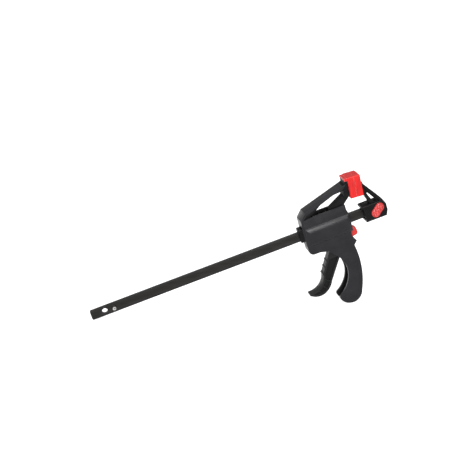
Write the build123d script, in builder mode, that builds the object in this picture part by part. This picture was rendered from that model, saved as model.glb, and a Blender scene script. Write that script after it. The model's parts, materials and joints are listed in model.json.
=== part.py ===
"""Quick release bar clamp with a 150 mm opening, worked with one hand.

Every piece is drawn in the bar's own frame: X runs along the bar towards the fixed jaw,
Z stands square off the bar towards the pads, and Y is the thickness, with the lock button
on the -Y side.  X = 0 is the plane in which the two pads meet and Z = 0 is the middle of
the bar.  Only the last step stands the clamp up, on the free end of its bar and the foot
of its grip, with the middle of the footprint at the origin.
"""
import os
from math import asin, atan2, cos, degrees, hypot, radians, sin, tan

from build123d import *

# ---------------------------------------------------------------- driving dimensions, mm
# Bar
bar_height = 7.2
bar_thickness = 3.5
bar_end_round = 1.0
bar_in_jaw = 15.8              # length held in the fixed jaw
jaw_opening = 150.0            # travel of the moving jaw, from closed to the stop pin
bar_beyond_stop = 18.4         # stop pin's middle to the free end
hang_hole_diameter = 4.4
hang_hole_from_end = 11.0
stop_pin_diameter = 2.5
stop_pin_bore = 1.3
stop_pin_slit = 0.5
stop_pin_proud = 2.45          # on each side of the bar

# Pads
pad_gap = 0.15                 # between the closed pads
pad_depth = 5.2
pad_height = 17.0
pad_width = 14.2
pad_over_bar = 12.7            # from the top of the bar to the underside of the pads
pad_lean = 4.5                 # degrees that both pads lean towards the fixed jaw
pad_wall = 1.7
pad_round = 0.9
pad_edge_break = 0.15          # round the faces that meet
lip_length = 2.4               # lip of the moving pad, back over the end of the arm
lip_thickness = 2.0
lip_below_top = 0.5
lip_inset = 0.5                # it is this much narrower than the pad, each side

# Body of the moving jaw; heights are over the top of the bar, depths below its bottom
body_setback = 10.5            # right face, from the plane in which the pads meet
body_length = 38.4
body_wall = 1.1                # beside the drive spring
body_bevel = 1.5               # upper corner of the tail face
belly_round = 4.0              # and its lower corner
shoulder_height = 9.7          # floor of the arm's window
belly_depth = 12.7             # underside in front of the trigger
throat_height = 5.4            # deepest part of the hollow between the jaws, and above it
throat_setback = 1.1           # of that part, from the right face
nose_top_height = 2.3          # right face, over the bar and below it
nose_bottom_depth = -1.4
edge_break = 0.5
swell = 1.6                    # sideways, where the body swells along the bar
swell_height = 2.1
swell_depth = 5.0
swell_slope_top = 4.8          # height of the sloping band above the flat of the swelling
swell_slope_bottom = 3.4
swell_tail_slope = 3.2         # length of the swelling's sloping tail end
swell_nose_slope = 2.8
gutter_depth = 4.0             # open gutter along the shoulder, between the shells' edges
gutter_wall = 1.3

# Arm of the moving jaw
arm_inset = 0.5                # its rim is this much narrower than the pads, each side
arm_rim = 2.0                  # thickness of the outer rim
arm_elbow_run = 5.5            # corner of the rim, from the tail face
arm_elbow_rise = 5.1           # and over the shoulder
arm_elbow_round = 5.0
arm_below_pad_top = 4.3        # end of the rim at the back of the pad
arm_head_thickness = 4.3       # rim's thickness there
arm_bend_run = 13.2            # bend of the rim's underside, from the back of the pad
arm_bend_drop = 5.0            # and below the rim's end
arm_bend_round = 12.0
arm_web_width = 7.0
window_length = 13.5           # along the shoulder, from the right face
window_rise = 4.3              # its upper corner, over the underside of the pads
window_bulge = 1.2             # how far the web rises over the straight line between them
corner_foot = 8.9              # web in the corner under the rim, from the tail face
corner_middle = (17.4, 4.7)    # its edge, halfway: from there and over the shoulder
corner_top = (24.4, 9.3)
seat_depth = 4.5               # thick part of the arm behind the pad

# Grip; its outline and the trigger's are measured from the pivot
grip_wall = 2.0
grip_channel_width = 7.8
thumb_side = ((16.8, 2.6), (16.8, -2.0), (19.0, -5.5), (16.2, -8.4))
grip_back_middle = (16.7, -27.8)
foot_centre = (2.5, -44.3)
foot_radius = 9.6
foot_wrap = 14.0               # degrees below level where the foot's round starts
channel_exit = 55.0            # degrees past the lowest point where the channel comes out
grip_front = ((-6.4, -45.0), (1.6, -37.8), (5.6, -26.8), (4.9, -20.0), (2.5, -14.4))
fork_edge = ((0.7, -11.8), (-4.5, -5.9))
fork_from_tail = 8.9           # where the fork's edge leaves the underside

# Tail bush
bush_reach = 3.1               # how far it stands out of the body
bush_beside = 2.05             # collar beside the bar, over it and under it
bush_over = 3.2
bush_under = 1.3
bush_depth = 4.2               # length of the plug inside the body

# Trigger
pivot_from_nose = 19.0         # pivot's middle to the body's right face
pivot_drop = 8.4               # and below the bottom of the bar
pivot_pin_diameter = 3.0
pivot_pin_blind = 1.2          # wall left in front of the pin's end
trigger_head_radius = 4.4
trigger_squeeze = 24.0         # degrees
trigger_front = ((-4.3, -1.5), (-4.1, -7.5), (-13.8, -23.6))
trigger_curl = (-18.1, -32.1)
trigger_tip = (-28.7, -36.4)
trigger_tip_radius = 1.0
trigger_sole = ((-22.0, -39.8), (-13.4, -37.4), (-10.8, -34.8))
trigger_back = ((-8.6, -31.2), (3.4, -13.6), (4.2, -2.0))
trigger_recess = 1.1
trigger_rim = 1.5
finger_rib_radius = 1.1
finger_rib_sink = 0.55         # rib's middle behind the trigger's front
finger_rib_count = 3
finger_rib_spacing = 5.4
finger_rib_start = 7.6         # first rib, measured down the trigger's front

# Drive
chamber_over = 1.8             # drive chamber above the bar and below it
chamber_under = 5.4
drive_plate_count = 2
drive_plate_thickness = 1.5
plate_gap = 0.4                # round the plates in their chambers
nose_radius = 1.4
nose_lead = 1.3                # nose's middle in front of the pivot
nose_drop = 2.0                # and below the bottom of the bar
drive_wire = 0.55
drive_turns = 4.0

# Brake
brake_wall = 3.2               # in front of the brake's chamber
brake_chamber_length = 7.9
brake_chamber_under = 12.6
brake_fulcrum_over = 1.6       # shoulder that the plate's top edge leans on, over the bar
brake_plate_thickness = 2.0
brake_plate_over = 3.2         # top edge, over the bar
brake_head_under = 2.2         # wide part of the plate, below the bar
brake_tail_length = 8.2
brake_tail_width = 5.4
brake_setback = 2.3            # plate's middle at the bar, from the end of its chamber
brake_tilt = 10.0              # degrees from square, where it grips the bar
brake_release = 9.0            # degrees that the lever swings to let go
brake_wire = 0.55
brake_turns = 2.0
lever_wall = 1.05              # cap beside the plate
lever_length = 7.0
lever_reach = 5.4              # how far the lever's cap stands in front of the plate
lever_back = 0.9
lever_lip = 0.8                # cap below the end of the plate
lever_round = 2.2
lever_mouth_drop = 1.0         # top of the lever's mouth, below the wide part of the plate

# Fixed jaw
fixed_setback = 1.2            # its left face, from the plane in which the pads meet
fixed_end_wall = 2.7
fixed_side_wall = 4.3
fixed_over = 2.8
fixed_under = 3.2
fixed_rim = 2.2
fixed_bevel = (1.8, 4.4)       # lower corner at the end
fixed_flat = 6.4               # end's flat, from the bottom of the bar
fixed_elbow = (2.4, 4.5)       # where the rim meets the end: in from it, and over the bar
fixed_below_pad_top = 7.2      # end of the rim at the back of the pad
fixed_web_width = 7.0
fixed_mouth_wall = 1.3         # round the hollow in the block's left face
fixed_mouth_depth = 2.0
fixed_ledge = (1.0, 1.8)       # ledge at the top of that face: how far it stands out, and height
strut_foot = 7.0               # strut's left edge on the block, from its left face
window_sill = 0.5              # foot of the window, over the block
window_slot = 3.0              # its width there
window_inset = 3.4             # its lower corner, from the rim's elbow
window_top = (0.9, 15.1)       # its upper corner, from the back of the pad and over the bar
lock_from_end = 5.1            # stud's middle to the end of the bar
lock_angle = 41.0              # tilt of the oval button
lock_button_length = 12.4
lock_button_width = 6.9
lock_button_proud = 0.6
lock_button_thickness = 1.65
lock_button_dish = 0.5
lock_button_rim = 0.9
lock_button_skin = 0.3         # left over the stud's tail
lock_travel = 1.8
lock_tail_diameter = 1.9
lock_neck_diameter = 2.6
lock_head_diameter = 4.2
lock_head_length = 2.2
lock_engagement = 1.6          # how deep the stud's head stands in the bar
lock_wire = 0.25
lock_turns = 2.0
lock_plug_thickness = 1.2

# Springs and clearances
wire_sides = 4                 # flats round every spring's wire
slide_clearance = 0.1          # jaw to bar, each side
fit_clearance = 0.05           # pieces that are pushed together
moving_clearance = 0.3         # pieces that swing past each other

# ---------------------------------------------------------------- worked-out places
half_bar = bar_height / 2
half_steel = bar_thickness / 2
half_gap = pad_gap / 2
half_channel = grip_channel_width / 2
coil_radius = hypot(bar_height, bar_thickness) / 2 + fit_clearance

pad_back = half_gap + pad_depth
pad_underside = half_bar + pad_over_bar
pad_top = pad_underside + pad_height
pad_middle = (pad_underside + pad_top) / 2
head_bottom = pad_underside + pad_wall
head_top = pad_top - pad_wall
head_width = pad_width - 2 * pad_wall

chamber_width = 2 * (coil_radius + drive_wire + moving_clearance)
half_body = chamber_width / 2 + body_wall
body_nose = -body_setback
body_tail = body_nose - body_length
shoulder = half_bar + shoulder_height
belly = -half_bar - belly_depth
throat_x = body_nose - throat_setback
bush_face = body_tail - bush_reach
bush_inner = body_tail + bush_depth

pivot = (body_nose - pivot_from_nose, -half_bar - pivot_drop)
trigger_width = grip_channel_width - 2 * moving_clearance
pivot_pin_length = 2 * half_body - pivot_pin_blind
nose = (pivot[0] - nose_lead, -half_bar - nose_drop)
nose_reach = hypot(nose[0] - pivot[0], nose[1] - pivot[1])
nose_bearing = atan2(nose[1] - pivot[1], nose[0] - pivot[0])
drive_stroke = nose[0] - pivot[0] - nose_reach * cos(nose_bearing + radians(trigger_squeeze))
plates_right = nose[0] - nose_radius - moving_clearance
plates_left = plates_right - drive_plate_count * drive_plate_thickness

chamber_top = half_bar + chamber_over
chamber_bottom = -half_bar - chamber_under
drive_chamber_end = pivot[0] + nose_lead
brake_chamber_end = body_nose - brake_wall
brake_chamber_start = brake_chamber_end - brake_chamber_length
brake_chamber_bottom = -half_bar - brake_chamber_under
lean = radians(brake_tilt)
brake_plate_top = half_bar + brake_plate_over
brake_pivot = (brake_chamber_end - brake_setback - brake_plate_top * tan(lean), brake_plate_top)
brake_head_length = (brake_plate_top + half_bar + brake_head_under) / cos(lean)
lever_width = brake_tail_width + 2 * lever_wall
lever_mouth_top = -half_bar - brake_head_under - lever_mouth_drop

stop_x = bush_face - jaw_opening - stop_pin_diameter / 2
bar_start = stop_x - bar_beyond_stop
bar_end = fixed_setback + bar_in_jaw
lock_centre = bar_end - lock_from_end

half_fixed = half_steel + fixed_side_wall
fixed_end = bar_end + fixed_end_wall
fixed_top = half_bar + fixed_over
fixed_bottom = -half_bar - fixed_under
fixed_corner = (fixed_end - fixed_elbow[0], half_bar + fixed_elbow[1])
button_face = half_fixed + lock_button_proud
stud_shoulder = half_steel + fit_clearance
head_near = lock_engagement - half_steel
well_depth = lock_travel + lock_button_thickness - lock_button_proud + slide_clearance
lock_tail_grip = lock_button_thickness - lock_button_dish - lock_button_skin


def from_pivot(*points):
    """Places measured from the trigger's pivot, as places in the bar's frame."""
    return [(pivot[0] + x, pivot[1] + z) for x, z in points]


def on_foot(radius, angle):
    """Place on a circle about the foot's middle, the angle in degrees from +X."""
    return (foot_centre[0] + radius * cos(radians(angle)),
            foot_centre[1] + radius * sin(radians(angle)))


def on_jaw(x, z):
    """Place beside the pads, carried along as they lean about their middle."""
    lean_by = radians(pad_lean)
    return (x * cos(lean_by) + (z - pad_middle) * sin(lean_by),
            pad_middle + (z - pad_middle) * cos(lean_by) - x * sin(lean_by))


def leaning_on_jaw(piece):
    """The piece turned with the pads' lean."""
    return piece.part.rotate(Axis((0, 0, pad_middle), (0, 1, 0)), pad_lean)


def side_face(*points):
    """Closed straight-sided face through the points, on the sketch's plane."""
    with BuildLine() as sides:
        Polyline(*points, close=True)
    return make_face(sides.edges())


def box_section(bottom, top, width, round_by):
    """Rounded rectangle across the clamp, on a plane square to the bar."""
    with Locations((0, (bottom + top) / 2)):
        return RectangleRounded(width, top - bottom, round_by)


def bar_section(clearance, mode=Mode.ADD):
    """Section of the bar with the clearance all round it."""
    return Rectangle(bar_thickness + 2 * clearance, bar_height + 2 * clearance, mode=mode)


def coil(start, end, wire, turns, inner_radius, centre=(0, 0), axis=(1, 0, 0)):
    """Compression spring between two places along its axis, of wire with a few flats."""
    length = end - start - wire
    foot = Vector(*axis) * (start + wire / 2) + Vector(centre[0], 0, centre[1])
    with BuildPart() as spring:
        with BuildLine() as path:
            Helix(length / turns, length, inner_radius + wire / 2, center=tuple(foot),
                  direction=axis)
        with BuildSketch(Plane(origin=path.wire() @ 0, z_dir=path.wire() % 0)):
            RegularPolygon(wire / 2, wire_sides)
        sweep(is_frenet=True)
    return spring


def pad_cap(side):
    """Soft cap over a jaw's head, upright; side is -1 on the moving jaw, 1 on the fixed one."""
    with BuildPart() as cap:
        with BuildSketch(Plane.XZ):
            with Locations((side * (half_gap + pad_back) / 2, pad_middle)):
                Rectangle(pad_depth, pad_height)
        extrude(amount=pad_width / 2, both=True)
        back = cap.faces().sort_by(Axis.X)[0 if side < 0 else -1]
        fillet(back.edges().sort_by(Axis.Z)[-1], pad_round)
        fillet(cap.edges().filter_by(Axis.X).group_by(Axis.Z)[-1], pad_round)
        front = cap.faces().sort_by(Axis.X)[-1 if side < 0 else 0]
        chamfer(front.edges(), pad_edge_break)
        with BuildSketch(Plane.YZ.offset(side * (half_gap + pad_wall))):
            box_section(head_bottom, head_top, head_width, pad_round / 2)
        extrude(amount=side * pad_depth, mode=Mode.SUBTRACT)
    return cap


def pad_head(side, top, reach):
    """Jaw's head, upright: it fills the pad, and its seat reaches back behind the pad."""
    with BuildPart() as head:
        with BuildSketch(Plane.YZ.offset(side * (half_gap + pad_wall))):
            box_section(head_bottom, head_top, head_width, pad_round / 2)
        extrude(amount=side * (pad_depth - pad_wall))
        with BuildSketch(Plane.YZ.offset(side * pad_back)):
            box_section(head_bottom, top, head_width, pad_round / 2)
        extrude(amount=side * reach)
    return head


# ---------------------------------------------------------------- outlines about the pivot
heel = on_foot(foot_radius, -foot_wrap)
toe = on_foot(foot_radius, 180 + foot_wrap)
grip_root = thumb_side[-1][1] + grip_wall

with BuildSketch() as grip_outline:
    with BuildLine():
        ThreePointArc(thumb_side[-1], grip_back_middle, heel)
        ThreePointArc(heel, on_foot(foot_radius, -90), toe)
        Line(toe, grip_front[0])
        Spline(*grip_front)
        Polyline(grip_front[-1], (grip_front[-1][0], grip_root),
                 (thumb_side[-1][0], grip_root), thumb_side[-1])
    make_face()

# Hollow of the grip: it follows the back and the foot inside the wall, and is open in front.
inner_radius = foot_radius - grip_wall
inner_top = (thumb_side[-1][0] - grip_wall, thumb_side[-1][1])
channel_floor = on_foot(inner_radius, -90 - channel_exit)
channel_front = toe[0] - 2 * grip_wall

with BuildSketch() as grip_hollow:
    with BuildLine():
        ThreePointArc(inner_top, (grip_back_middle[0] - grip_wall, grip_back_middle[1]),
                      on_foot(inner_radius, -foot_wrap))
        ThreePointArc(on_foot(inner_radius, -foot_wrap), on_foot(inner_radius, -90),
                      channel_floor)
        Polyline(channel_floor, (channel_front, channel_floor[1] - foot_radius),
                 (channel_front, inner_top[1]), inner_top)
    make_face()

tip_top = (trigger_tip[0] + trigger_tip_radius, trigger_tip[1] + trigger_tip_radius)
tip_bottom = (trigger_tip[0] + trigger_tip_radius, trigger_tip[1] - trigger_tip_radius)

with BuildSketch() as trigger_blade:
    with BuildLine():
        Polyline(*trigger_front)
        ThreePointArc(trigger_front[-1], trigger_curl, tip_top)
        ThreePointArc(tip_top, trigger_tip, tip_bottom)
        ThreePointArc(tip_bottom, trigger_sole[0], trigger_sole[1])
        ThreePointArc(trigger_sole[1], trigger_sole[2], trigger_back[0])
        Polyline(*trigger_back, trigger_front[0])
    make_face()

# The blade with its round head and the nose that pushes the drive plates.
nose_rise = nose[1] - pivot[1]
with BuildSketch() as trigger_outline:
    add(trigger_blade.sketch)
    Circle(trigger_head_radius)
    with Locations((-nose_lead, nose_rise)):
        Circle(nose_radius)
    with Locations(Location((-nose_lead / 2, nose_rise / 2), degrees(nose_bearing))):
        Rectangle(nose_reach, 2 * nose_radius)

# ---------------------------------------------------------------- bar and stop pin
with BuildPart() as bar:
    with BuildSketch(Plane.XZ):
        with Locations(((bar_start + bar_end) / 2, 0)):
            flat = Rectangle(bar_end - bar_start, bar_height)
        fillet(flat.vertices().group_by(Axis.X)[0], bar_end_round)
        with Locations((bar_start + hang_hole_from_end, 0)):
            Circle(hang_hole_diameter / 2, mode=Mode.SUBTRACT)
        with Locations((stop_x, 0)):
            Circle(stop_pin_diameter / 2, mode=Mode.SUBTRACT)
        # Keyhole for the lock stud, open at the end of the bar.
        with Locations((lock_centre, 0)):
            Circle(lock_head_diameter / 2 + slide_clearance, mode=Mode.SUBTRACT)
        with Locations(((lock_centre + bar_end) / 2, 0)):
            Rectangle(bar_end - lock_centre, lock_neck_diameter + 2 * slide_clearance,
                      mode=Mode.SUBTRACT)
    extrude(amount=half_steel, both=True)

with BuildPart() as stop_pin:
    with BuildSketch(Plane.XZ):
        with Locations((stop_x, 0)):
            Circle(stop_pin_diameter / 2)
            Circle(stop_pin_bore / 2, mode=Mode.SUBTRACT)
        with Locations((stop_x + stop_pin_diameter / 2, 0)):
            Rectangle(stop_pin_diameter, stop_pin_slit, mode=Mode.SUBTRACT)
    extrude(amount=half_steel + stop_pin_proud, both=True)

# ---------------------------------------------------------------- moving jaw
# Swelling along the bar, with a sloping band above its flat and sloping ends.
swell_start = body_tail + body_bevel
swell_end = body_nose - edge_break
swell_top = half_bar + swell_height
swell_bottom = -half_bar - swell_depth
half_swell = half_body + swell

with BuildPart() as swelling:
    with BuildSketch(Plane.YZ.offset(swell_start)):
        with BuildLine():
            for side in (-1, 1):
                upper = (side * half_swell, swell_top - swell_slope_top)
                lower = (side * half_swell, swell_bottom + swell_slope_bottom)
                TangentArc(upper, (side * half_body, swell_top), tangent=(0, 1))
                Line(upper, lower)
                TangentArc(lower, (side * half_body, swell_bottom), tangent=(0, -1))
            Line((-half_body, swell_top), (half_body, swell_top))
            Line((-half_body, swell_bottom), (half_body, swell_bottom))
        make_face()
    extrude(amount=swell_end - swell_start)
    with BuildSketch(Plane.XY.offset(swell_bottom)):
        side_face((swell_start, -half_body), (swell_start + swell_tail_slope, -half_swell),
                  (swell_end - swell_nose_slope, -half_swell), (swell_end, -half_body),
                  (swell_end, half_body), (swell_end - swell_nose_slope, half_swell),
                  (swell_start + swell_tail_slope, half_swell), (swell_start, half_body))
    extrude(amount=swell_top - swell_bottom, mode=Mode.INTERSECT)

arm_elbow = (body_tail + arm_elbow_run, shoulder + arm_elbow_rise)
arm_top = pad_top - arm_below_pad_top
arm_end = on_jaw(-pad_back, arm_top)
arm_inner_end = on_jaw(-pad_back, arm_top - arm_head_thickness)
arm_bend = (arm_end[0] - arm_bend_run, arm_end[1] - arm_bend_drop)
arm_inner_elbow = (arm_elbow[0] + arm_rim / 2, arm_elbow[1] - arm_rim)
window_low = (body_nose - window_length, shoulder)
window_high = (-pad_back - seat_depth, pad_underside + window_rise)
window_middle = ((window_low[0] + window_high[0]) / 2,
                 (window_low[1] * 2 + window_high[1]) / 3 + window_bulge)
gutter_floor = shoulder - gutter_depth
gutter_start = body_tail + body_bevel + arm_rim
gutter_end = throat_x - body_bevel
corner_edge = [(body_tail + x, shoulder + z)
               for x, z in ((corner_foot, -edge_break), corner_middle, corner_top)]
lip_bottom = pad_top - lip_below_top - lip_thickness
moving_head = pad_head(-1, arm_top - arm_rim / 2, seat_depth)

with BuildPart() as housing:
    # Flat sides of the body and the grip, down to the fork over the trigger.
    with BuildSketch(Plane.XZ):
        flank = side_face((body_tail, belly), (body_tail, chamber_top),
                          (body_tail + body_bevel, shoulder), (throat_x, shoulder),
                          (throat_x, half_bar + throat_height),
                          (body_nose, half_bar + nose_top_height),
                          (body_nose, -half_bar - nose_bottom_depth), *from_pivot(*thumb_side),
                          *from_pivot((thumb_side[-1][0], grip_front[-1][1]), grip_front[-1]),
                          *from_pivot(*fork_edge), (body_tail + fork_from_tail, belly))
        fillet(flank.vertices().group_by(Axis.X)[0].sort_by(Axis.Y)[0], belly_round)
        with Locations(pivot):
            add(grip_outline.sketch)
    extrude(amount=half_body, both=True)
    outline = housing.faces().filter_by(Axis.Y).edges()
    chamfer([edge for edge in outline if edge.center().Z > belly - edge_break], edge_break)
    add(swelling.part)
    # Outer rim of the arm, from the tail face up to the back of the pad.
    with BuildSketch(Plane.XZ):
        rim = side_face((body_tail, 0), (body_tail + body_bevel / 2, shoulder), arm_elbow,
                        arm_end, arm_inner_end, arm_bend, arm_inner_elbow,
                        (body_tail + body_bevel / 2 + arm_rim, shoulder),
                        (body_tail + arm_rim, 0))
        corners = rim.vertices()
        fillet(corners.sort_by_distance((arm_bend[0], arm_bend[1]))[0], arm_bend_round)
        corners = rim.vertices()
        fillet([v for v in corners
                if v.X < arm_inner_elbow[0] + arm_rim and v.Y > shoulder + arm_rim / 2],
               arm_elbow_round)
    extrude(amount=pad_width / 2 - arm_inset, both=True)
    # Gutter along the shoulder, open on top.
    with BuildSketch(Plane.XY.offset(gutter_floor)):
        with Locations(((gutter_start + gutter_end) / 2, 0)):
            Rectangle(gutter_end - gutter_start, 2 * (half_body - gutter_wall))
    extrude(amount=gutter_depth, mode=Mode.SUBTRACT)
    # Thin webs, one in the corner under the rim and one from the window to the pad's seat.
    with BuildSketch(Plane.XZ):
        with BuildLine():
            ThreePointArc(*corner_edge)
            Polyline(corner_edge[-1], (corner_edge[-1][0], corner_edge[-1][1] + arm_rim / 4),
                     (arm_elbow[0], arm_inner_elbow[1]),
                     (gutter_start - arm_rim / 2, shoulder),
                     (gutter_start - arm_rim / 2, gutter_floor - edge_break),
                     (corner_edge[0][0], gutter_floor - edge_break), corner_edge[0])
        make_face()
        with BuildLine():
            ThreePointArc(window_low, window_middle, window_high)
            Polyline(window_high, (window_high[0], arm_inner_end[1]), arm_inner_end,
                     on_jaw(-pad_back, head_bottom),
                     on_jaw(-pad_back - seat_depth / 3, pad_underside),
                     (throat_x, shoulder), (gutter_end - edge_break, shoulder - edge_break),
                     (gutter_end - edge_break, gutter_floor - edge_break),
                     (window_low[0], gutter_floor - edge_break), window_low)
        make_face()
    extrude(amount=arm_web_width / 2, both=True)
    # Head in the pad, its seat, and the end of the arm under the pad's lip.
    add(leaning_on_jaw(moving_head))
    with BuildSketch(Plane.XZ):
        side_face(on_jaw(-pad_back, lip_bottom), on_jaw(-pad_back - lip_length, lip_bottom),
                  on_jaw(-pad_back - lip_length, lip_bottom - arm_head_thickness),
                  on_jaw(-pad_back, lip_bottom - arm_head_thickness))
    extrude(amount=head_width / 2, both=True)
    # Room for the bar, and for the drive plates with the bush's plug behind them.
    with BuildSketch(Plane.YZ.offset(body_tail)):
        bar_section(slide_clearance)
    extrude(amount=body_length, mode=Mode.SUBTRACT)
    with BuildSketch(Plane.YZ.offset(body_tail)):
        box_section(chamber_bottom, chamber_top, chamber_width, edge_break * 2)
    extrude(amount=drive_chamber_end - body_tail, mode=Mode.SUBTRACT)
    # Room for the brake, with the shoulder that its plate leans on, and the lever's mouth.
    with BuildSketch(Plane.YZ.offset(brake_chamber_start)):
        box_section(brake_chamber_bottom, half_bar + brake_fulcrum_over, chamber_width,
                    edge_break * 2)
    extrude(amount=brake_chamber_length, mode=Mode.SUBTRACT)
    fulcrum_face = (brake_pivot[0] + brake_plate_thickness / 2 / cos(lean)
                    + (brake_plate_over - brake_fulcrum_over) * tan(lean) + slide_clearance)
    with BuildSketch(Plane.YZ.offset(brake_chamber_start)):
        box_section(0, brake_plate_top + plate_gap, chamber_width, edge_break * 2)
    extrude(amount=fulcrum_face - brake_chamber_start, mode=Mode.SUBTRACT)
    with BuildSketch(Plane.YZ.offset(brake_chamber_end - edge_break)):
        box_section(brake_chamber_bottom, lever_mouth_top, lever_width + 2 * moving_clearance,
                    edge_break * 2)
    extrude(amount=2 * brake_wall, mode=Mode.SUBTRACT)
    # Slot for the trigger wherever it swings, running down into the hollow of the grip.
    with BuildSketch(Plane.XZ):
        with Locations(pivot):
            for swing in (0, trigger_squeeze / 2, trigger_squeeze):
                add(trigger_outline.sketch, rotation=swing)
        offset(amount=moving_clearance)
        with Locations(pivot):
            add(grip_hollow.sketch)
    extrude(amount=half_channel, both=True, mode=Mode.SUBTRACT)
    # Blind hole for the trigger's pin, from the +Y side.
    with BuildSketch(Plane.XZ.offset(-half_body)):
        with Locations(pivot):
            Circle(pivot_pin_diameter / 2 + fit_clearance)
    extrude(amount=pivot_pin_length + fit_clearance, mode=Mode.SUBTRACT)

with BuildPart() as tail_bush:
    with BuildSketch(Plane.YZ.offset(body_tail)):
        box_section(chamber_bottom + fit_clearance, chamber_top - fit_clearance,
                    chamber_width - 2 * fit_clearance, edge_break * 2)
    extrude(amount=bush_depth)
    with BuildSketch(Plane.YZ.offset(bush_face)):
        box_section(-half_bar - bush_under, half_bar + bush_over,
                    bar_thickness + 2 * bush_beside, edge_break * 3)
    extrude(amount=bush_reach)
    chamfer(tail_bush.faces().sort_by(Axis.X)[0].edges(), edge_break)
    with BuildSketch(Plane.YZ.offset(bush_face)):
        bar_section(slide_clearance)
    extrude(amount=bush_reach + bush_depth, mode=Mode.SUBTRACT)

with BuildPart() as moving_pad:
    add(leaning_on_jaw(pad_cap(-1)))
    # Lip that lies back over the end of the arm.
    with BuildSketch(Plane.XZ):
        lip = side_face(on_jaw(-pad_back + pad_wall, lip_bottom + lip_thickness),
                        on_jaw(-pad_back - lip_length, lip_bottom + lip_thickness),
                        on_jaw(-pad_back - lip_length, lip_bottom),
                        on_jaw(-pad_back, lip_bottom), on_jaw(-pad_back, head_top),
                        on_jaw(-pad_back + pad_wall, head_top))
        fillet(lip.vertices().group_by(Axis.X)[0], lip_thickness / 4)
    extrude(amount=pad_width / 2 - lip_inset, both=True)

# ---------------------------------------------------------------- trigger
with BuildPart() as pivot_pin:
    with BuildSketch(Plane.XZ.offset(-half_body)):
        with Locations(pivot):
            Circle(pivot_pin_diameter / 2)
    extrude(amount=pivot_pin_length)
    chamfer(pivot_pin.edges().filter_by(GeomType.CIRCLE), pivot_pin_diameter / 10)

with BuildPart() as trigger:
    with BuildSketch(Plane.XZ):
        with Locations(pivot):
            add(trigger_outline.sketch)
    extrude(amount=trigger_width / 2, both=True)
    # Ribs across the front for the fingers.
    rib_start, rib_end = (Vector(*place) for place in from_pivot(*trigger_front[1:]))
    down = (rib_end - rib_start).normalized()
    inward = Vector(-down.Y, down.X)
    with BuildSketch(Plane.XZ):
        for rib in range(finger_rib_count):
            place = (rib_start + down * (finger_rib_start + rib * finger_rib_spacing)
                     + inward * finger_rib_sink)
            with Locations((place.X, place.Y)):
                Circle(finger_rib_radius)
    extrude(amount=trigger_width / 2, both=True)
    # Hollow in each side, inside a rim.
    with BuildSketch() as dish:
        add(trigger_blade.sketch)
        offset(amount=-trigger_rim)
        with Locations((0, -trigger_head_radius)):
            Rectangle(6 * trigger_head_radius, 4 * trigger_head_radius, mode=Mode.SUBTRACT)
    for face_y in (trigger_width / 2, -trigger_width / 2 + trigger_recess):
        with BuildSketch(Plane.XZ.offset(-face_y)):
            with Locations(pivot):
                add(dish.sketch)
        extrude(amount=trigger_recess, mode=Mode.SUBTRACT)
    with BuildSketch(Plane.XZ):
        with Locations(pivot):
            Circle(pivot_pin_diameter / 2 + slide_clearance)
    extrude(amount=trigger_width / 2, both=True, mode=Mode.SUBTRACT)

# ---------------------------------------------------------------- drive
drive_plates = []
for number in range(drive_plate_count):
    with BuildPart() as drive_plate:
        with BuildSketch(Plane.YZ.offset(plates_left + number * drive_plate_thickness)):
            box_section(chamber_bottom + plate_gap, chamber_top - plate_gap,
                        chamber_width - 2 * plate_gap, edge_break * 2)
            bar_section(slide_clearance, mode=Mode.SUBTRACT)
        extrude(amount=drive_plate_thickness)
    drive_plates.append(drive_plate)

drive_spring = coil(bush_inner, plates_left, drive_wire, drive_turns, coil_radius)

# ---------------------------------------------------------------- brake
# The plate hangs from its top edge; its own frame has Y down it and Z through it.
brake_normal = (cos(lean), 0, sin(lean))
plate_plane = Plane(origin=(brake_pivot[0], 0, brake_pivot[1]), x_dir=(0, 1, 0),
                    z_dir=brake_normal)
lever_plane = Plane(origin=(brake_pivot[0], 0, brake_pivot[1]), x_dir=brake_normal,
                    z_dir=(0, -1, 0))
half_plate = brake_plate_thickness / 2
plate_end = -brake_head_length - brake_tail_length

with BuildPart() as brake_plate:
    with BuildSketch(plate_plane.offset(-half_plate)):
        with Locations((0, -brake_head_length / 2)):
            Rectangle(chamber_width - 2 * plate_gap, brake_head_length)
        with Locations((0, plate_end / 2)):
            Rectangle(brake_tail_width, -plate_end)
        # The hole is as tall as the leaning plate needs to let the bar through.
        with Locations((0, -brake_plate_top / cos(lean))):
            Rectangle(bar_thickness + 2 * slide_clearance,
                      (bar_height + brake_plate_thickness * sin(lean)) / cos(lean)
                      + slide_clearance, mode=Mode.SUBTRACT)
    extrude(amount=brake_plate_thickness)

with BuildPart() as release_lever:
    with BuildSketch(lever_plane):
        with Locations(((lever_reach - lever_back) / 2, plate_end - lever_lip + lever_length / 2)):
            knob = Rectangle(brake_plate_thickness + lever_reach + lever_back, lever_length)
        fillet(knob.vertices().group_by(Axis.X)[-1], lever_round)
    extrude(amount=lever_width / 2, both=True)
    chamfer(release_lever.faces().filter_by(Axis.Y).edges(), edge_break)
    with BuildSketch(plate_plane.offset(-half_plate - fit_clearance)):
        with Locations((0, plate_end / 2 - fit_clearance)):
            Rectangle(brake_tail_width + 2 * fit_clearance, -plate_end)
    extrude(amount=brake_plate_thickness + 2 * fit_clearance, mode=Mode.SUBTRACT)

plate_back_at_bar = (brake_chamber_end - brake_setback - half_plate / cos(lean)
                     - (coil_radius + brake_wire) * tan(lean))
brake_spring = coil(brake_chamber_start, plate_back_at_bar, brake_wire, brake_turns, coil_radius)

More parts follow.
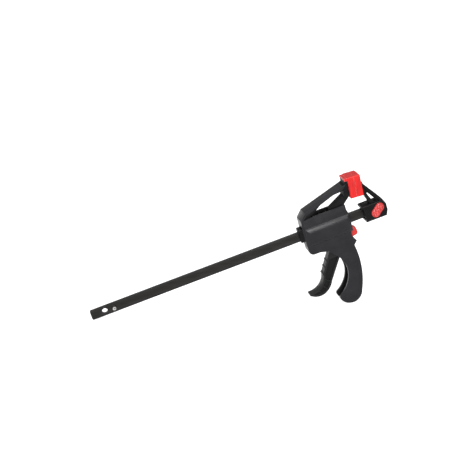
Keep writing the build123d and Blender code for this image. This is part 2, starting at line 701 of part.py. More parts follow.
# ---------------------------------------------------------------- fixed jaw
rim_top = pad_top - fixed_below_pad_top
rim_end = on_jaw(pad_back, rim_top)
end_flat = -half_bar + fixed_flat
block_corner = fixed_bottom + fixed_bevel[1]
fixed_head = pad_head(1, rim_top, fixed_rim / 2)
mouth_bottom = fixed_bottom + fixed_mouth_wall
mouth_top = fixed_top - fixed_mouth_wall

with BuildPart() as fixed_jaw:
    # Block that grips the end of the bar.
    with BuildSketch(Plane.XZ):
        side_face((fixed_setback, fixed_bottom), (fixed_end - fixed_bevel[0], fixed_bottom),
                  (fixed_end, block_corner), (fixed_end, end_flat),
                  (fixed_corner[0], fixed_top), (fixed_setback - fixed_ledge[0], fixed_top),
                  (fixed_setback - fixed_ledge[0], fixed_top - fixed_ledge[1]),
                  (fixed_setback, fixed_top - fixed_ledge[1]))
    extrude(amount=half_fixed, both=True)
    # Sloping outer rim, up to the back of the pad.
    with BuildSketch(Plane.XZ):
        side_face((fixed_end, block_corner), (fixed_end, end_flat), fixed_corner, rim_end,
                  on_jaw(pad_back, rim_top - 1.5 * fixed_rim),
                  (fixed_corner[0] - fixed_rim, fixed_corner[1] - fixed_rim / 3),
                  (fixed_end - 1.5 * fixed_rim, end_flat),
                  (fixed_end - 1.5 * fixed_rim, block_corner))
    extrude(amount=half_fixed, both=True)
    chamfer(fixed_jaw.faces().filter_by(Axis.Y).edges(), edge_break)
    # Web inside the rim, with the strut up to the pad's seat.
    with BuildSketch(Plane.XZ):
        side_face((fixed_setback + strut_foot, fixed_top - edge_break),
                  on_jaw(pad_back + edge_break, pad_underside),
                  on_jaw(pad_back, head_bottom), (rim_end[0], rim_end[1] - edge_break),
                  fixed_corner,
                  (fixed_corner[0], fixed_top - edge_break))
    extrude(amount=fixed_web_width / 2, both=True)
    # Narrow window between the strut and the rim.
    with BuildSketch(Plane.XZ):
        sill = fixed_top + window_sill
        sill_end = fixed_corner[0] - window_inset
        window = side_face((pad_back + window_top[0], half_bar + window_top[1]),
                           (sill_end, sill), (sill_end - window_slot, sill))
        fillet(window.vertices(), edge_break * 0.8)
    extrude(amount=half_fixed, both=True, mode=Mode.SUBTRACT)
    add(leaning_on_jaw(fixed_head))
    # Hollow in the left face, and the pocket for the bar, closed at its far end.
    with BuildSketch(Plane.YZ.offset(fixed_setback)):
        box_section(mouth_bottom, mouth_top, 2 * (half_fixed - fixed_mouth_wall), edge_break)
    extrude(amount=fixed_mouth_depth, mode=Mode.SUBTRACT)
    with BuildSketch(Plane.YZ.offset(fixed_setback)):
        bar_section(fit_clearance)
    extrude(amount=bar_in_jaw + moving_clearance, mode=Mode.SUBTRACT)
    # Oval well for the button, its floor pierced for the stud, and the spring's bore.
    with BuildSketch(Plane.XZ.offset(half_fixed - well_depth)):
        with Locations(Location((lock_centre, 0), lock_angle)):
            SlotOverall(lock_button_length + 2 * slide_clearance,
                        lock_button_width + 2 * slide_clearance)
    extrude(amount=well_depth, mode=Mode.SUBTRACT)
    with BuildSketch(Plane.XZ.offset(half_fixed)):
        with Locations((lock_centre, 0)):
            Circle(lock_tail_diameter / 2 + slide_clearance)
    extrude(amount=-half_fixed, mode=Mode.SUBTRACT)
    with BuildSketch(Plane.XZ.offset(-half_fixed)):
        with Locations((lock_centre, 0)):
            Circle(lock_head_diameter / 2 + slide_clearance)
    extrude(amount=half_fixed, mode=Mode.SUBTRACT)

with BuildPart() as fixed_pad:
    add(leaning_on_jaw(pad_cap(1)))

# ---------------------------------------------------------------- lock of the fixed jaw
with BuildPart() as lock_button:
    with BuildSketch(Plane.XZ.offset(button_face - lock_button_thickness)):
        with Locations(Location((lock_centre, 0), lock_angle)):
            SlotOverall(lock_button_length, lock_button_width)
    extrude(amount=lock_button_thickness)
    chamfer(lock_button.faces().sort_by(Axis.Y)[0].edges(), lock_button_rim / 3)
    with BuildSketch(Plane.XZ.offset(button_face)):
        with Locations(Location((lock_centre, 0), lock_angle)):
            SlotOverall(lock_button_length - 2 * lock_button_rim,
                        lock_button_width - 2 * lock_button_rim)
    extrude(amount=-lock_button_dish, mode=Mode.SUBTRACT)
    with BuildSketch(Plane.XZ.offset(button_face - lock_button_thickness)):
        with Locations((lock_centre, 0)):
            Circle(lock_tail_diameter / 2)
    extrude(amount=lock_tail_grip, mode=Mode.SUBTRACT)

# Stepped stud: a tail in the button, a neck as wide as the bar's slot lets through, and a
# head that fills the keyhole until the button is pushed in.
with BuildPart() as lock_stud:
    with BuildSketch(Plane.XZ.offset(stud_shoulder)):
        with Locations((lock_centre, 0)):
            Circle(lock_tail_diameter / 2)
    extrude(amount=button_face - lock_button_thickness + lock_tail_grip - stud_shoulder)
    with BuildSketch(Plane.XZ.offset(stud_shoulder)):
        with Locations((lock_centre, 0)):
            Circle(lock_neck_diameter / 2)
    extrude(amount=head_near - stud_shoulder)
    with BuildSketch(Plane.XZ.offset(head_near)):
        with Locations((lock_centre, 0)):
            Circle(lock_head_diameter / 2)
    extrude(amount=-lock_head_length)

with BuildPart() as lock_plug:
    with BuildSketch(Plane.XZ.offset(-half_fixed)):
        with Locations((lock_centre, 0)):
            Circle(lock_head_diameter / 2 + fit_clearance)
    extrude(amount=lock_plug_thickness)

lock_spring = coil(lock_head_length - head_near, half_fixed - lock_plug_thickness, lock_wire,
                   lock_turns, lock_head_diameter / 2 - 2 * lock_wire, (lock_centre, 0), (0, 1, 0))

# ---------------------------------------------------------------- standing it up
# The stance line touches the rounded lower corner of the bar's free end and the foot.
foot = from_pivot(foot_centre)[0]
corner = (bar_start + bar_end_round, -half_bar + bar_end_round)
foot_run = foot[0] - corner[0]
foot_fall = corner[1] - foot[1]
foot_reach = hypot(foot_run, foot_fall)
stance = atan2(foot_fall, foot_run) + asin((foot_radius - bar_end_round) / foot_reach)

pieces = {
    "bar": bar,
    "stop_pin": stop_pin,
    "fixed_jaw": fixed_jaw,
    "fixed_pad": fixed_pad,
    "lock_button": lock_button,
    "lock_stud": lock_stud,
    "lock_spring": lock_spring,
    "lock_plug": lock_plug,
    "housing": housing,
    "moving_pad": moving_pad,
    "tail_bush": tail_bush,
    "pivot_pin": pivot_pin,
    "trigger": trigger,
    "drive_spring": drive_spring,
    "brake_plate": brake_plate,
    "brake_spring": brake_spring,
    "release_lever": release_lever,
}
for number, drive_plate in enumerate(drive_plates, start=1):
    pieces[f"drive_plate_{number}"] = drive_plate

tilt = Rotation(0, -degrees(stance), 0)
leaning = Compound([tilt * piece.part for piece in pieces.values()]).bounding_box()
stand = Location((-leaning.center().X, 0, -leaning.min.Z)) * tilt

os.makedirs("parts", exist_ok=True)
for name, piece in pieces.items():
    stood = stand * piece.part
    stood.label = name
    export_step(stood, f"parts/{name}.step")
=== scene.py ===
"""Looks of the quick release bar clamp: finishes, moulded detail, light and camera.

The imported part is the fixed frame.  Detail pieces are placed in the bar's own frame, in
millimetres: X along the bar towards the fixed jaw, Z square off the bar towards the pads,
Y through the thickness, and X = Z = 0 where the pads meet over the middle of the bar.
"""
import json
from math import cos, radians, sin

import bpy
import bmesh
from mathutils import Matrix, Vector


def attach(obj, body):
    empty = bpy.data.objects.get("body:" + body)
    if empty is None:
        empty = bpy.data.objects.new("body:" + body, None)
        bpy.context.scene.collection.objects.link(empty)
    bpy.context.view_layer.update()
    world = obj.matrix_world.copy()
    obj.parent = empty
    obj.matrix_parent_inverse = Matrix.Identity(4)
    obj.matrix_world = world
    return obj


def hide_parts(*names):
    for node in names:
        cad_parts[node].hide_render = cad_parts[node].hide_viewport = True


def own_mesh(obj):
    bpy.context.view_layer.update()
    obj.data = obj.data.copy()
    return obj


MM = 0.001

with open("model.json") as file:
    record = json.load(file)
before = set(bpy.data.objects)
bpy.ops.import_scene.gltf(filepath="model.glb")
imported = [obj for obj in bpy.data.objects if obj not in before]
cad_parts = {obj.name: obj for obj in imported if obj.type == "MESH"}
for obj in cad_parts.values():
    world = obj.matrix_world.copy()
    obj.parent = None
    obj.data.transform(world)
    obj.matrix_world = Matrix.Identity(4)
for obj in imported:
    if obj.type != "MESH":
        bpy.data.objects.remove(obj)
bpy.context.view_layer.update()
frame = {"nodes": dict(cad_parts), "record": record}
record = frame["record"]
joints = {joint["name"]: joint for joint in record["behaviour"]["joints"]}
mounts = {mount["name"]: mount for mount in record["mounts"]}

# ---------------------------------------------------------------- the bar's own frame
HANG_HOLE = 210.65             # from the plane in which the pads meet
PAD_MIDDLE = 24.8              # over the middle of the bar
PAD_LEAN = 4.5                 # degrees

along = -Vector(joints["jaw_slide"]["axis"])
off_bar = along.cross(Vector((0, 1, 0)))
bar_middle = Vector(mounts["hang_hole"]["pos_m"]) + along * HANG_HOLE * MM
TO_ROW = Matrix.Translation(bar_middle) @ Matrix(
    (along, Vector((0, 1, 0)), off_bar)).transposed().to_4x4() @ Matrix.Scale(MM, 4)
TO_BAR = TO_ROW.inverted()
ON_PADS = (Matrix.Translation((0, 0, PAD_MIDDLE)) @ Matrix.Rotation(radians(PAD_LEAN), 4, "Y")
           @ Matrix.Translation((0, 0, -PAD_MIDDLE)))

# ---------------------------------------------------------------- places and sizes, in mm
# The last column is the half width of a moulding's inside, whose recessed faces get the darker
# recess finish as painted shade.
MOULDINGS = (                  # node, rounding of its edges, half width of its dull inside
    ("housing", 0.3, 5.45), ("fixed_jaw", 0.3, 5.45), ("trigger", 0.3, 2.6),
    ("tail_bush", 0.3, 0), ("moving_pad", 0.8, 0), ("fixed_pad", 0.8, 0), ("bar", 0.2, 0),
    ("lock_button", 0.15, 0), ("release_lever", 0.4, 0))
SPRINGS = (                    # node, its joint, axis in the bar's frame, wire, turns, stroke
    ("drive_spring", "drive_slide", 0, 0.55, 4, 2.55),
    ("brake_spring", "release_swing", 0, 0.55, 2, 2.0),
    ("lock_spring", "lock_press", 1, 0.25, 2, 1.82))
ARM_POCKET = (Vector((-11.9, 0, 24.4)), Vector((-6.1, 0, 29.5)))     # on its lower edge
TRIGGER_PIVOT = (-29.5, -12.0)  # X and Z
KNOB_AXIS = (-17.2, 6.8)       # X and Z of the line that the release lever swings about
BUTTON_MIDDLE = 11.9           # along the bar
BUTTON_TURN = radians(41)
PAD_FACE = 0.075               # each pad's gripping face, from the plane in which they meet


# ---------------------------------------------------------------- shader helpers
def new_material(name):
    """New node material, with its node tree and its Principled shader."""
    material = bpy.data.materials.new(name)
    material.use_nodes = True
    tree = material.node_tree
    return material, tree, tree.nodes["Principled BSDF"]


def noise(tree, scale, detail=3.0, roughness=0.5, stretch=(1, 1, 1)):
    """Noise in object space, with features of about 1/scale metres."""
    place = tree.nodes.new("ShaderNodeTexCoord")
    mapping = tree.nodes.new("ShaderNodeMapping")
    mapping.inputs["Scale"].default_value = stretch
    made = tree.nodes.new("ShaderNodeTexNoise")
    for name, value in (("Scale", scale), ("Detail", detail), ("Roughness", roughness)):
        made.inputs[name].default_value = value
    tree.links.new(place.outputs["Object"], mapping.inputs["Vector"])
    tree.links.new(mapping.outputs["Vector"], made.inputs["Vector"])
    return made.outputs["Fac"]


def ramp(tree, value, low, high, dark, light):
    """Maps a value between two stops onto two colours."""
    stops = tree.nodes.new("ShaderNodeValToRGB")
    stops.color_ramp.elements[0].position = low
    stops.color_ramp.elements[1].position = high
    stops.color_ramp.elements[0].color = (*dark, 1)
    stops.color_ramp.elements[1].color = (*light, 1)
    tree.links.new(value, stops.inputs["Fac"])
    return stops.outputs["Color"]


def remap(tree, value, low, high, first=0.0, last=1.0):
    """Maps first..last onto low..high."""
    made = tree.nodes.new("ShaderNodeMapRange")
    for name, number in (("From Min", first), ("From Max", last), ("To Min", low),
                         ("To Max", high)):
        made.inputs[name].default_value = number
    tree.links.new(value, made.inputs["Value"])
    return made.outputs["Result"]


def mixed(tree, share, first, second):
    """Colour between two colours or colour outputs."""
    made = tree.nodes.new("ShaderNodeMix")
    made.data_type = "RGBA"
    tree.links.new(share, made.inputs[0])
    for socket, colour in ((made.inputs[6], first), (made.inputs[7], second)):
        if isinstance(colour, tuple):
            socket.default_value = (*colour, 1)
        else:
            tree.links.new(colour, socket)
    return made.outputs[2]


def sharpness(tree, reach):
    """0 on flats and 1 along edges: how far a softened normal turns from the real one."""
    soft = tree.nodes.new("ShaderNodeBevel")
    soft.samples = 6
    soft.inputs["Radius"].default_value = reach
    facing = tree.nodes.new("ShaderNodeNewGeometry")
    made = tree.nodes.new("ShaderNodeVectorMath")
    made.operation = "DOT_PRODUCT"
    tree.links.new(soft.outputs["Normal"], made.inputs[0])
    tree.links.new(facing.outputs["Normal"], made.inputs[1])
    return remap(tree, made.outputs["Value"], 1.0, 0.0, first=0.8, last=0.995)


def seam(tree, grain):
    """Adds the mould's parting line along the mid-plane to a bump height."""
    inner, outer, height = 0.05 * MM, 0.16 * MM, 5.0        # half widths, and times the grain
    place = tree.nodes.new("ShaderNodeTexCoord")
    split = tree.nodes.new("ShaderNodeSeparateXYZ")
    across = tree.nodes.new("ShaderNodeMath")
    across.operation = "ABSOLUTE"
    made = tree.nodes.new("ShaderNodeMath")
    made.operation = "MULTIPLY_ADD"
    tree.links.new(place.outputs["Object"], split.inputs["Vector"])
    tree.links.new(split.outputs["Y"], across.inputs[0])
    tree.links.new(remap(tree, across.outputs[0], 1.0, 0.0, inner, outer), made.inputs[0])
    made.inputs[1].default_value = height
    tree.links.new(grain, made.inputs[2])
    return made.outputs[0]


def bump(tree, shader, height, distance):
    """Bumps the shader's normal by the height."""
    made = tree.nodes.new("ShaderNodeBump")
    made.inputs["Distance"].default_value = distance
    tree.links.new(height, made.inputs["Height"])
    tree.links.new(made.outputs["Normal"], shader.inputs["Normal"])


# ---------------------------------------------------------------- finishes
MIDDLE_HALF = (0.25, 0.75)     # of a noise's range, which holds nearly all of its values


def moulded_nylon(name, dark, light, edge_wear_and_highlight, rough, shine):
    """Near-black moulded plastic: spark-eroded grain, faint clouding, edges paler, partly from
    wear and partly as a painted highlight.
    """
    material, tree, shader = new_material(name)
    clouds = ramp(tree, noise(tree, scale=110, detail=5, roughness=0.6), 0.32, 0.68, dark, light)
    edges = sharpness(tree, 0.35 * MM)
    # Paler edges: partly wear, partly a painted highlight along the edges.
    tree.links.new(mixed(tree, edges, clouds, edge_wear_and_highlight), shader.inputs["Base Color"])
    worn = noise(tree, scale=420, detail=4, roughness=0.65)
    tree.links.new(remap(tree, worn, rough - 0.07, rough + 0.09, *MIDDLE_HALF),
                   shader.inputs["Roughness"])
    shader.inputs["Specular IOR Level"].default_value = shine
    grain = noise(tree, scale=2400, detail=3, roughness=0.7)
    bump(tree, shader, seam(tree, grain), 0.035 * MM)
    return material


def red_moulding(name, dark, light, edge_wear_and_highlight, rough, coat, streak=(1, 1, 1)):
    """Red moulding with faint streaks in its colour, and edges painted paler as a highlight, with
    some wear.
    """
    material, tree, shader = new_material(name)
    streaks = noise(tree, scale=260, detail=4, roughness=0.6, stretch=streak)
    clouds = ramp(tree, streaks, 0.33, 0.67, dark, light)
    edges = sharpness(tree, 0.65 * MM)
    # Paler edges: a painted highlight along the edges, with some wear.
    tree.links.new(mixed(tree, edges, clouds, edge_wear_and_highlight), shader.inputs["Base Color"])
    worn = noise(tree, scale=600, detail=3)
    tree.links.new(remap(tree, worn, rough - 0.06, rough + 0.08, *MIDDLE_HALF),
                   shader.inputs["Roughness"])
    shader.inputs["Specular IOR Level"].default_value = 0.22
    shader.inputs["Coat Weight"].default_value = coat
    shader.inputs["Coat Roughness"].default_value = 0.18
    bump(tree, shader, noise(tree, scale=1500, detail=3, roughness=0.6), 0.04 * MM)
    return material


def steel(name, dark, light, edge_wear_and_highlight, rough, metallic, stretch=(1, 1, 1), scale=900, shine=0.5):
    """Steel with a drawn grain along the piece, brighter along its edges, partly from wear and
    partly as a painted highlight.
    """
    material, tree, shader = new_material(name)
    drawn = noise(tree, scale, detail=5, roughness=0.65, stretch=stretch)
    edges = sharpness(tree, 0.25 * MM)
    # Brighter edges: partly wear, partly a painted highlight.
    tree.links.new(mixed(tree, edges, ramp(tree, drawn, 0.3, 0.7, dark, light), edge_wear_and_highlight),
                   shader.inputs["Base Color"])
    tree.links.new(remap(tree, drawn, rough - 0.08, rough + 0.1, *MIDDLE_HALF),
                   shader.inputs["Roughness"])
    shader.inputs["Metallic"].default_value = metallic
    shader.inputs["Specular IOR Level"].default_value = shine
    bump(tree, shader, drawn, 0.012 * MM)
    return material


# The three colours of each are the surface's darker and lighter clouds and its paler edges, which
# are partly wear and partly painted highlight.
nylon = moulded_nylon("body_nylon", (0.0028, 0.0027, 0.0038), (0.0054, 0.0051, 0.0068),
                      (0.026, 0.026, 0.029), rough=0.32, shine=0.20)
jaw_nylon = moulded_nylon("jaw_nylon", (0.0014, 0.0014, 0.0016), (0.0030, 0.0030, 0.0033),
                          (0.020, 0.020, 0.022), rough=0.36, shine=0.09)
# Darker, less shiny nylon for the recessed webs, the trigger's hollow and the arm's pockets: its
# darker colour is painted shade, where these recesses fall into shade.
recess_painted_shade = moulded_nylon("recess_painted_shade", (0.0012, 0.0012, 0.0014), (0.0026, 0.0026, 0.003),
                             (0.012, 0.012, 0.013), rough=0.55, shine=0.10)
trigger_nylon = moulded_nylon("trigger_nylon", (0.0016, 0.0016, 0.0018), (0.0034, 0.0034, 0.0038),
                              (0.02, 0.02, 0.022), rough=0.38, shine=0.18)
pad_rubber = red_moulding("pad_rubber", (0.25, 0.003, 0.003), (0.40, 0.006, 0.005),
                          (0.68, 0.13, 0.12), rough=0.36, coat=0.0, streak=(3.0, 1.0, 0.35))
release_red = red_moulding("release_red", (0.22, 0.006, 0.005), (0.34, 0.012, 0.010),
                           (0.50, 0.09, 0.07), rough=0.30, coat=0.2)
button_red = red_moulding("button_red", (0.18, 0.003, 0.004), (0.30, 0.006, 0.007),
                          (0.52, 0.08, 0.07), rough=0.28, coat=0.3)
black_steel = steel("black_steel", (0.0040, 0.0038, 0.0036), (0.0095, 0.0088, 0.0082),
                    (0.026, 0.025, 0.024), rough=0.38, metallic=0.0,
                    stretch=(0.12, 1.0, 1.0), scale=700, shine=0.125)
bright_steel = steel("bright_steel", (0.42, 0.41, 0.40), (0.62, 0.61, 0.60),
                     (0.72, 0.71, 0.70), rough=0.3, metallic=1.0)
oiled_steel = steel("oiled_steel", (0.20, 0.19, 0.18), (0.33, 0.32, 0.31),
                    (0.45, 0.44, 0.43), rough=0.35, metallic=1.0)

FINISHES = {
    "housing": nylon, "fixed_jaw": jaw_nylon, "tail_bush": jaw_nylon, "lock_plug": jaw_nylon,
    "trigger": trigger_nylon, "moving_pad": pad_rubber, "fixed_pad": pad_rubber,
    "release_lever": release_red, "lock_button": button_red, "bar": black_steel,
    "stop_pin": bright_steel, "pivot_pin": bright_steel, "lock_stud": bright_steel,
    "lock_spring": bright_steel, "drive_spring": bright_steel, "brake_spring": bright_steel,
    "brake_plate": oiled_steel, "drive_plate_1": oiled_steel, "drive_plate_2": oiled_steel,
}
BODY_OF = {name: body for body, names in record["behaviour"]["bodies"].items()
           for name in names}
for name, material in FINISHES.items():
    mesh = frame["nodes"][name].data
    mesh.materials.clear()
    mesh.materials.append(material)


# ---------------------------------------------------------------- pieces
def as_piece(name, mesh, node, second=None):
    """Object of a mesh in the row frame, which rides and is finished as the node is."""
    mesh.materials.append(FINISHES[node])
    if second:
        mesh.materials.append(second)
    piece = bpy.data.objects.new(name, mesh)
    bpy.context.scene.collection.objects.link(piece)
    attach(piece, BODY_OF[node])
    return piece


def soften(piece, width, segments=3):
    """Rounds the piece's sharp edges and keeps its flats flat."""
    for polygon in piece.data.polygons:
        polygon.use_smooth = True
    rounding = piece.modifiers.new("rounding", "BEVEL")
    rounding.width, rounding.segments = width * MM, segments
    rounding.limit_method, rounding.angle_limit = "ANGLE", radians(28)
    rounding.miter_outer = "MITER_ARC"
    rounding.use_clamp_overlap = True
    rounding.harden_normals = True
    return piece


def shape_of(node):
    """The node's mesh in the bar's frame, its triangles joined into whole faces."""
    work = bmesh.new()
    work.from_mesh(frame["nodes"][node].data)
    bmesh.ops.transform(work, matrix=TO_BAR, verts=work.verts)
    bmesh.ops.remove_doubles(work, verts=work.verts, dist=0.002)
    bmesh.ops.dissolve_limit(work, angle_limit=radians(1.5), verts=work.verts, edges=work.edges)
    return work


def finished(work):
    """Mesh in the row frame from a bmesh in the bar's frame."""
    bmesh.ops.transform(work, matrix=TO_ROW, verts=work.verts)
    mesh = bpy.data.meshes.new("piece")
    work.to_mesh(mesh)
    work.free()
    return mesh


def paint_recess_shade(work, half_width):
    """Faces that lie wholly inside the half width get the second finish, the darker recess nylon
    that paints shade into them.
    """
    for face in work.faces:
        if max(abs(corner.co.y) for corner in face.verts) <= half_width:
            # Painted shade on the recessed faces.
            face.material_index = 1


def hollow_arm_end(work):
    """Pocket in each side of the arm, in the corner between its rim's end and the pad, given the
    darker recess finish as painted shade.
    """
    flat, outside = 0.9, 6.5           # the rim's sides: their normal's Y, and how far out
    rim_reach, corner_foot = 25, 23.5
    wall, depth = 0.45, 0.9
    sides = [face for face in work.faces
             if abs(face.normal.y) > flat and min(abs(c.co.y) for c in face.verts) > outside
             and max(c.co.z for c in face.verts) > rim_reach]
    geometry = set(sides)
    for face in sides:
        geometry.update(face.verts, face.edges)
    slope = (ARM_POCKET[1] - ARM_POCKET[0]).normalized()
    bmesh.ops.bisect_plane(work, geom=list(geometry), plane_co=ARM_POCKET[0],
                           plane_no=slope.cross(Vector((0, 1, 0))), dist=0.001)
    for sign in (-1, 1):
        corner = [face for face in work.faces if face.normal.y * sign > flat
                  and min(c.co.y * sign for c in face.verts) > outside
                  and min(c.co.z for c in face.verts) > corner_foot]
        made = bmesh.ops.inset_region(work, faces=corner, thickness=wall, depth=-depth,
                                      use_even_offset=True)
        # The pocket's faces get painted shade.
        for face in corner + made["faces"]:
            face.material_index = 1


for node, width, inside in MOULDINGS:
    shape = shape_of(node)
    paint_recess_shade(shape, inside)
    if node == "housing":
        hollow_arm_end(shape)
    made = soften(as_piece(node + "_moulding", finished(shape), node,
                           recess_painted_shade if inside else None), width)
    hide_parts(node)


# ---------------------------------------------------------------- moulded detail
def plate(work, outline, low, high):
    """Closed plate of an outline of (X, Z) places between two levels of Y."""
    ends = [[work.verts.new((x, level, z)) for x, z in outline] for level in (low, high)]
    work.faces.new(ends[0])
    work.faces.new(reversed(ends[1]))
    for last in range(len(outline)):
        work.faces.new((ends[0][last], ends[0][last - 1], ends[1][last - 1], ends[1][last]))
    bmesh.ops.recalc_face_normals(work, faces=work.faces)


def gutter_ribs():
    """Low ribs that tie the shells together across the gutter under the arm."""
    foot, tip = 0.45, 0.3              # half thickness
    floor, top, half_width = 9.1, 11.9, 3.7
    work = bmesh.new()
    for place in (-36.5, -31.5, -26.5):
        plate(work, ((place - foot, floor), (place + foot, floor), (place + tip, top),
                     (place - tip, top)), -half_width, half_width)
    soften(as_piece("gutter_ribs", finished(work), "housing"), 0.12, segments=2)


def trigger_ribs():
    """Stiffening ribs across the hollow in each side of the trigger, towards its curl."""
    runs = (((-14.0, -27.8), (-9.6, -31.4)), ((-16.9, -32.3), (-13.9, -36.6)),
            ((-21.0, -34.9), (-19.6, -38.2)))          # from front to back, off the pivot
    half_thickness, floor, top = 0.42, 2.3, 3.3
    work = bmesh.new()
    for front, back in runs:
        start, end = Vector(front), Vector(back)
        side = (end - start).normalized().orthogonal() * half_thickness
        outline = [Vector(TRIGGER_PIVOT) + place for place in
                   (start + side, end + side, end - side, start - side)]
        for low, high in ((floor, top), (-top, -floor)):
            plate(work, outline, low, high)
    soften(as_piece("trigger_ribs", finished(work), "trigger"), 0.2)


def knob_ridges():
    """Ridges across the release knob's front, for the finger."""
    lean, face, half_width, corners = radians(10), 6.15, 2.9, 14
    half_depth, half_height = 0.55, 0.5        # of a ridge's section
    work = bmesh.new()
    for place in (-19.9, -18.3, -16.7):        # under the axis
        outline = []
        for corner in range(corners):
            turn = corner * radians(360) / corners
            out, up = face + half_depth * cos(turn), place + half_height * sin(turn)
            outline.append((KNOB_AXIS[0] + out * cos(lean) - up * sin(lean),
                            KNOB_AXIS[1] + out * sin(lean) + up * cos(lean)))
        plate(work, outline, -half_width, half_width)
    soften(as_piece("knob_ridges", finished(work), "release_lever"), 0.2, segments=2)


def button_waffle():
    """Crossing ridges on the floor of the oval button's dish."""
    rings, sectors = 22, 88
    half_straight, end_radius = 2.75, 2.62
    dish, pitch = 6.15, 2.6            # the dish's floor, off the mid-plane
    edge, bed, ridge, skirt = 0.02, 0.08, 0.30, 0.17       # heights
    work = bmesh.new()
    turn = Matrix.Rotation(-BUTTON_TURN, 4, "Y")
    grid = []
    for ring in range(1, rings + 1):
        share = ring / rings
        fade = min(1, (1 - share) * 7)         # of the ridges, towards the edge
        row = []
        for sector in range(sectors):
            way = sector * radians(360) / sectors
            straight = half_straight * min(1, abs(cos(way)) * 4)
            x = share * (end_radius * cos(way) + (straight if cos(way) > 0 else -straight))
            z = share * end_radius * sin(way)
            crest = max(cos((x + z) * radians(360) / pitch),
                        cos((x - z) * radians(360) / pitch), 0) ** 1.4
            height = edge if ring == rings else bed + ridge * crest * fade
            place = turn @ Vector((x, -(dish + height), z))
            row.append(work.verts.new(place + Vector((BUTTON_MIDDLE, 0, 0))))
        grid.append(row)
    middle = work.verts.new((BUTTON_MIDDLE, -(dish + bed + ridge), 0))
    for sector in range(sectors):
        after = (sector + 1) % sectors
        work.faces.new((middle, grid[0][sector], grid[0][after]))
        for inner, outer in zip(grid, grid[1:]):
            work.faces.new((inner[sector], outer[sector], outer[after], inner[after]))
    rim = [work.verts.new(corner.co + Vector((0, skirt, 0))) for corner in grid[-1]]
    for sector in range(sectors):
        after = (sector + 1) % sectors
        work.faces.new((grid[-1][sector], rim[sector], rim[after], grid[-1][after]))
    work.faces.new(rim)
    bmesh.ops.recalc_face_normals(work, faces=work.faces)
    piece = as_piece("button_waffle", finished(work), "lock_button")
    for polygon in piece.data.polygons:
        polygon.use_smooth = True


def spring(node, joint, axis, wire, turns, stroke):
    """Round-wire coil in a spring's place."""
    steps, sides = 30, 8               # per turn, and round the wire
    around = [side * radians(360 / sides) for side in range(sides)]
    corners = [TO_BAR @ corner.co for corner in frame["nodes"][node].data.vertices]
    low = Vector(min(corner[i] for corner in corners) for i in range(3))
    high = Vector(max(corner[i] for corner in corners) for i in range(3))
    way, first = Vector((0, 0, 0)), Vector((0, 0, 1))
    way[axis] = 1
    second = way.cross(first)
    radius = (high.z - low.z - wire) / 2
    length = high[axis] - low[axis]
    work = bmesh.new()
    rings = []
    for step in range(turns * steps + 1):
        share = step / (turns * steps)
        turn = share * turns * radians(360)
        out = first * cos(turn) + second * sin(turn)
        middle = (low + high) / 2 + way * (share - 0.5) * (length - wire) + out * radius
        rings.append([work.verts.new(middle + (out * cos(place) + way * sin(place)) * wire / 2)
                      for place in around])
    for ring, after in zip(rings, rings[1:]):
        for side in range(sides):
            work.faces.new((ring[side - 1], ring[side], after[side], after[side - 1]))
    work.faces.new(rings[0])
    work.faces.new(rings[-1])
    bmesh.ops.recalc_face_normals(work, faces=work.faces)
    piece = as_piece(node + "_coil", finished(work), node)
    for polygon in piece.data.polygons:
        polygon.use_smooth = len(polygon.vertices) == 4
    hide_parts(node)
    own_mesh(piece)


def groove_pad(node, face, inward):
    """Cuts level grooves into a pad's gripping face, inside a plain border."""
    lowest, spacing, count = 18.9, 1.75, 8
    proud, depth, half_height, half_length = 0.1, 0.45, 0.55, 5.6
    work = bmesh.new()
    for number in range(count):
        level = lowest + spacing * number
        plate(work, ((face - proud * inward, level - half_height), (face + depth * inward, level),
                     (face - proud * inward, level + half_height)), -half_length, half_length)
    bmesh.ops.transform(work, matrix=ON_PADS, verts=work.verts)
    cutter = bpy.data.objects.new("grooves", finished(work))
    bpy.context.scene.collection.objects.link(cutter)
    piece = bpy.data.objects[node + "_moulding"]
    cutting = piece.modifiers.new("grooves", "BOOLEAN")
    cutting.object, cutting.operation, cutting.solver = cutter, "DIFFERENCE", "EXACT"
    graph = bpy.context.evaluated_depsgraph_get()
    mesh = bpy.data.meshes.new_from_object(piece.evaluated_get(graph))
    piece.modifiers.clear()
    piece.data = mesh
    mesh.set_sharp_from_angle(angle=radians(34))
    weighted = piece.modifiers.new("normals", "WEIGHTED_NORMAL")
    weighted.keep_sharp = True
    bpy.data.objects.remove(cutter)


gutter_ribs()
trigger_ribs()
knob_ridges()
button_waffle()
for row in SPRINGS:
    spring(*row)
groove_pad("moving_pad", -PAD_FACE, -1)
groove_pad("fixed_pad", PAD_FACE, 1)

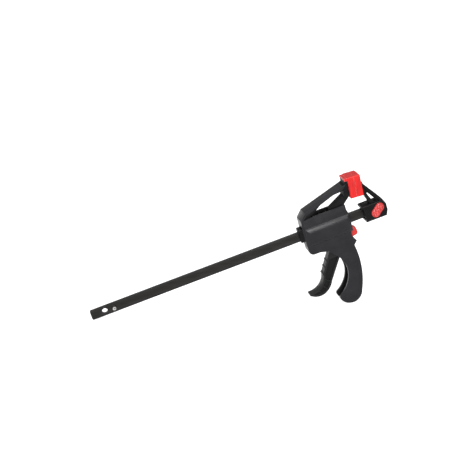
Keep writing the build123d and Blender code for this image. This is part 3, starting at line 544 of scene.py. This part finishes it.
# ---------------------------------------------------------------- floor, light and camera
FLOOR_SIZE = 12                # metres
FLOOR_WHITE = 0.45
FLOOR_GLOW = 0.72
WORLD_STRENGTH = 0.55
SUNS = (                       # name, strength, where it stands, width in degrees
    ("front_high", 3.1, (-0.10, -0.82, 0.62), 40),
    ("front_low", 2.5, (-0.10, -1.00, 0.24), 26),
    ("overhead", 1.3, (-0.20, -0.15, 1.0), 60),
    ("left", 1.0, (-1.2, -0.45, 0.45), 40))
CAMERA_YAW = 11.43             # degrees that the view turns to the clamp's left end
CAMERA_PITCH = 17.82           # degrees that it looks down
CAMERA_DISTANCE = 0.8519       # metres
CAMERA_AIM = (0.0007, 0.0135, 0.0539)
CAMERA_LENS, CAMERA_SENSOR = 83.54, 36      # millimetres


def sun(name, strength, place, width):
    """Sun as wide as a soft box, which shines from a place towards the floor's middle."""
    light = bpy.data.lights.new(name, "SUN")
    light.energy, light.angle = strength, radians(width)
    shown = bpy.data.objects.new(name, light)
    shown.location = place
    shown.rotation_euler = (-Vector(place)).to_track_quat("-Z", "Y").to_euler()
    bpy.context.scene.collection.objects.link(shown)


def floor_and_light():
    """Plain white floor that glows a little, a white sky and wide suns as soft boxes."""
    bpy.ops.mesh.primitive_plane_add(size=FLOOR_SIZE, location=(0, 0, 0))
    floor = bpy.context.object
    floor.name = "floor"
    white, _, shader = new_material("floor_white")
    shader.inputs["Base Color"].default_value = (FLOOR_WHITE, FLOOR_WHITE, FLOOR_WHITE, 1)
    shader.inputs["Roughness"].default_value = 1.0
    shader.inputs["Specular IOR Level"].default_value = 0.0
    shader.inputs["Emission Color"].default_value = (1, 1, 1, 1)
    shader.inputs["Emission Strength"].default_value = FLOOR_GLOW
    floor.data.materials.append(white)
    world = bpy.data.worlds.new("studio")
    world.use_nodes = True
    world.node_tree.nodes["Background"].inputs["Color"].default_value = (1, 1, 1, 1)
    world.node_tree.nodes["Background"].inputs["Strength"].default_value = WORLD_STRENGTH
    bpy.context.scene.world = world
    for name, strength, place, width in SUNS:
        sun(name, strength, place, width)


def camera():
    """The photograph's view."""
    yaw, pitch = radians(CAMERA_YAW), radians(CAMERA_PITCH)
    view = Vector((sin(yaw) * cos(pitch), cos(yaw) * cos(pitch), -sin(pitch)))
    lens = bpy.data.cameras.new("camera")
    lens.lens, lens.sensor_width = CAMERA_LENS, CAMERA_SENSOR
    shown = bpy.data.objects.new("camera", lens)
    shown.location = Vector(CAMERA_AIM) - view * CAMERA_DISTANCE
    shown.rotation_euler = view.to_track_quat("-Z", "Y").to_euler()
    bpy.context.scene.collection.objects.link(shown)
    bpy.context.scene.camera = shown


floor_and_light()
camera()
bpy.context.scene.view_settings.view_transform = "Standard"
